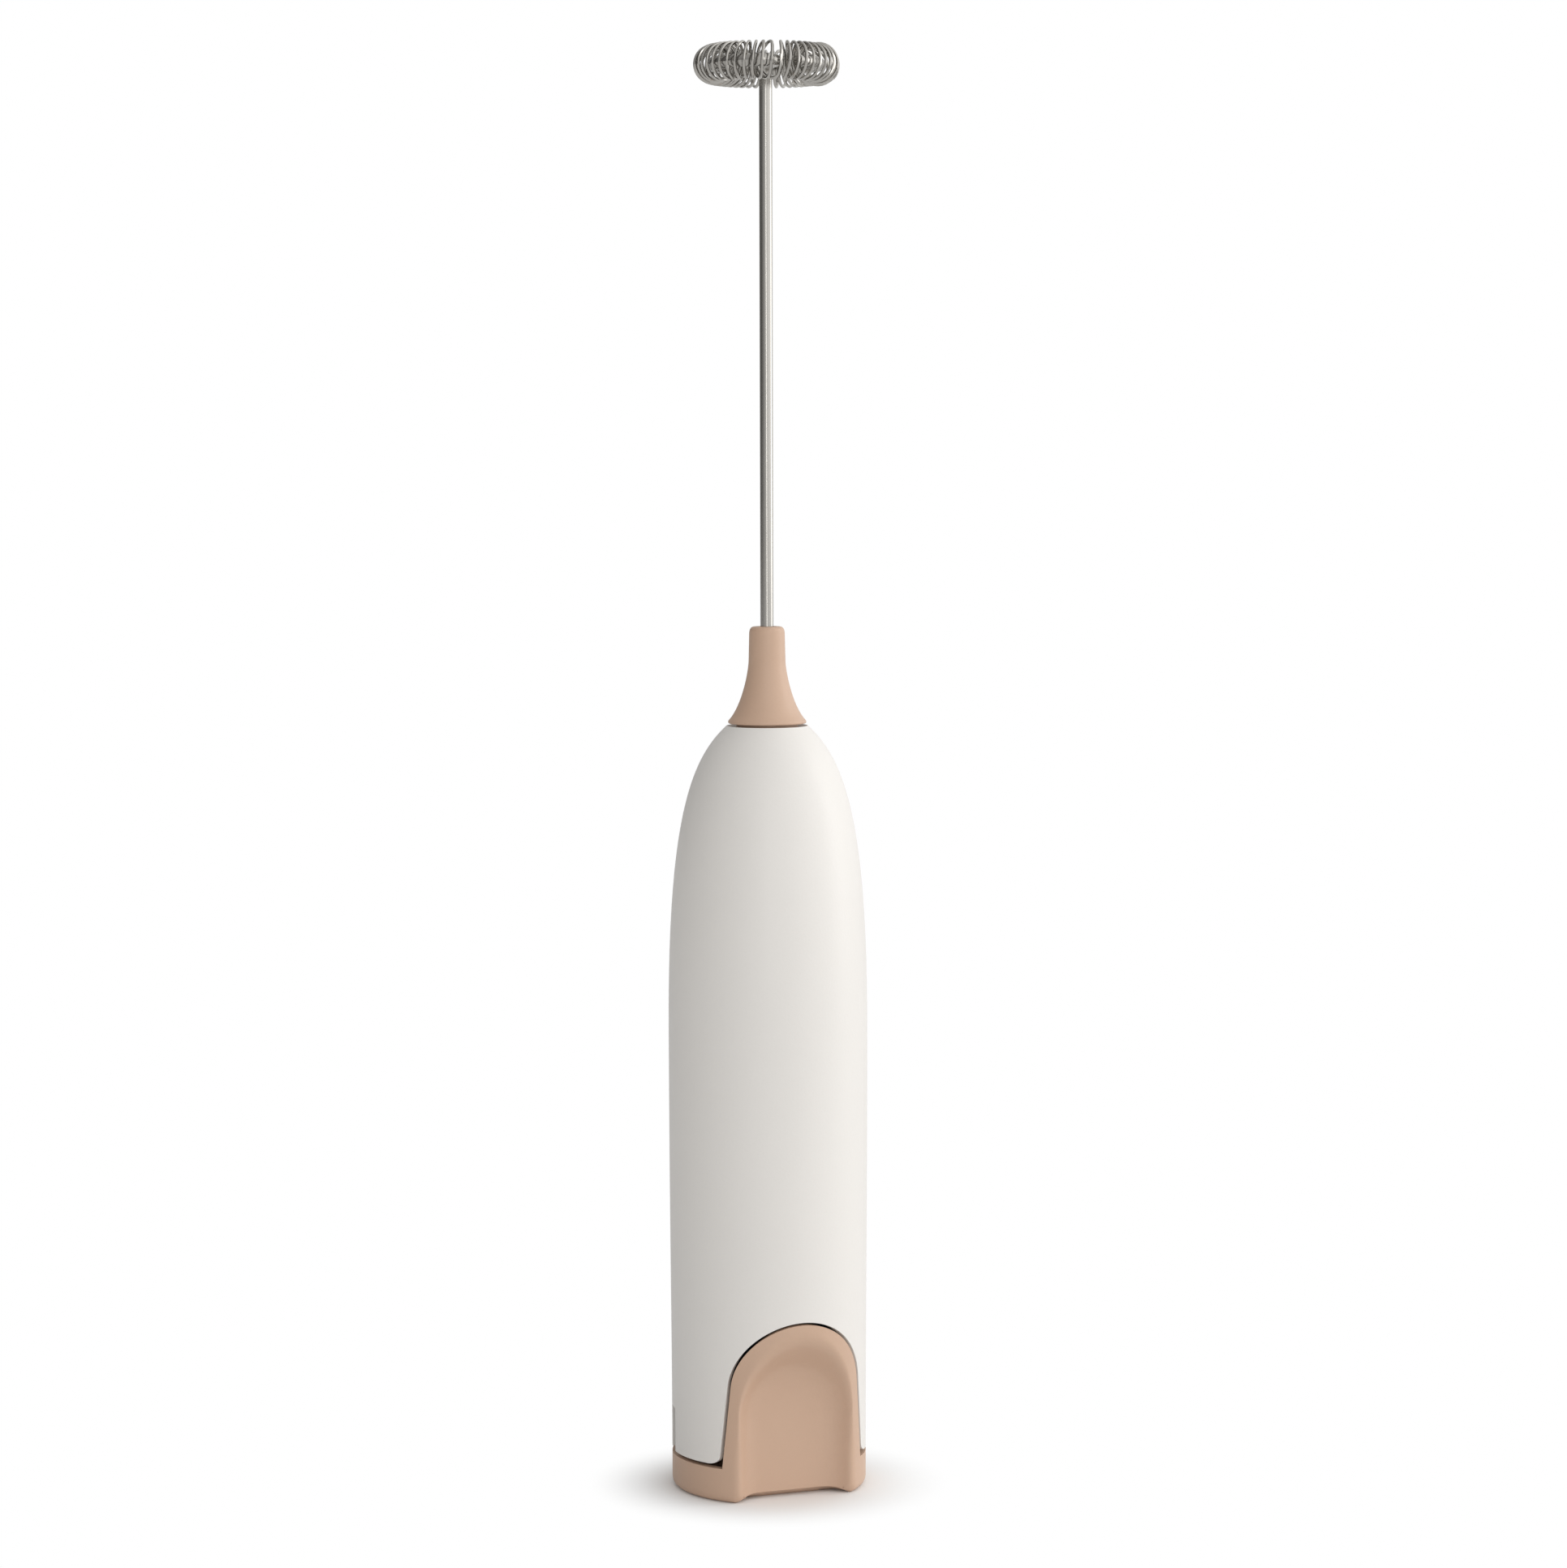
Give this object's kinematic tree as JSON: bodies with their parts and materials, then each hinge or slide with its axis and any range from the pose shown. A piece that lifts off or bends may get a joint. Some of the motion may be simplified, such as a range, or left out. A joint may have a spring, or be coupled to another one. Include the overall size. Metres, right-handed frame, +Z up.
{
  "type": "milk frother",
  "caption": "Battery milk frother: a slim round-shouldered handle with a thumb-pad end cap that is its switch, a nose cone, and a long spinning wire with a coil-wound whisk ring.",
  "frame": {"origin": "the middle of the end cap's flat underside, on the handle's axis", "axes": "+Z up the handle to the whisk, -Y out of the thumb pad, +X to the right seen from the pad's side, along the line between the two cells"},
  "size_m": [0.032, 0.032, 0.2314],
  "materials": {
    "white_plastic": "satin moulded ABS, warm white",
    "tan_plastic": "matt moulded plastic, warm tan",
    "black_plastic": "moulded black plastic",
    "ivory_plastic": "unpainted moulded plastic",
    "steel_wire": "drawn stainless steel wire",
    "spring_steel": "nickel-plated spring wire",
    "zinc_plate": "zinc-plated pressed steel",
    "core_steel": "stacked steel laminations",
    "ferrite": "sintered ferrite",
    "bronze": "sintered bronze, oiled",
    "brass": "stamped brass strip",
    "copper": "enamelled copper",
    "cell_jacket": "printed metallic jacket without marks",
    "red_sleeve": "PVC wire sleeve",
    "black_sleeve": "PVC wire sleeve"
  },
  "bodies": {
    "handle": {"handle_shell": "white_plastic", "nose_cone": "tan_plastic", "shaft_bush": "bronze", "chassis": "ivory_plastic", "top_plate_contact": "brass", "top_spring_contact": "spring_steel", "battery_left": "cell_jacket", "battery_right": "cell_jacket", "lead_positive": "red_sleeve", "lead_negative": "black_sleeve", "motor_can": "zinc_plate", "motor_bell": "ivory_plastic", "motor_bush_front": "bronze", "motor_bush_rear": "bronze", "magnet_left": "ferrite", "magnet_right": "ferrite", "brush_left": "copper", "brush_right": "copper"},
    "whisk_drive": {"motor_shaft": "steel_wire", "armature_core": "core_steel", "winding_1": "copper", "winding_2": "copper", "winding_3": "copper", "commutator": "copper", "shaft_coupling": "black_plastic", "whisk_wire": "steel_wire", "whisk_coil": "steel_wire"},
    "battery_door": {"door_frame": "black_plastic", "door_plate_contact": "brass", "door_spring_contact": "spring_steel"},
    "switch_cap": {"end_cap": "tan_plastic", "bridge_strip": "brass", "cap_screw_front": "zinc_plate", "cap_screw_rear": "zinc_plate", "return_spring_front": "spring_steel", "return_spring_rear": "spring_steel"}
  },
  "joints": [
    {"name": "whisk_spin", "type": "hinge", "parent": "handle", "child": "whisk_drive", "pos_m": [0, 0, 0.1375], "axis": [0, 0, 1], "continuous": true},
    {"name": "door_pull", "type": "slide", "parent": "handle", "child": "battery_door", "axis": [0, 0, -1], "range_m": [0, 0.03]},
    {"name": "cap_press", "type": "slide", "parent": "battery_door", "child": "switch_cap", "axis": [0, 0, 1], "range_m": [0, 0.0004], "stiffness_N_per_m": 600, "springref_m": -0.0027, "deforming": ["return_spring_front", "return_spring_rear"]}
  ]
}
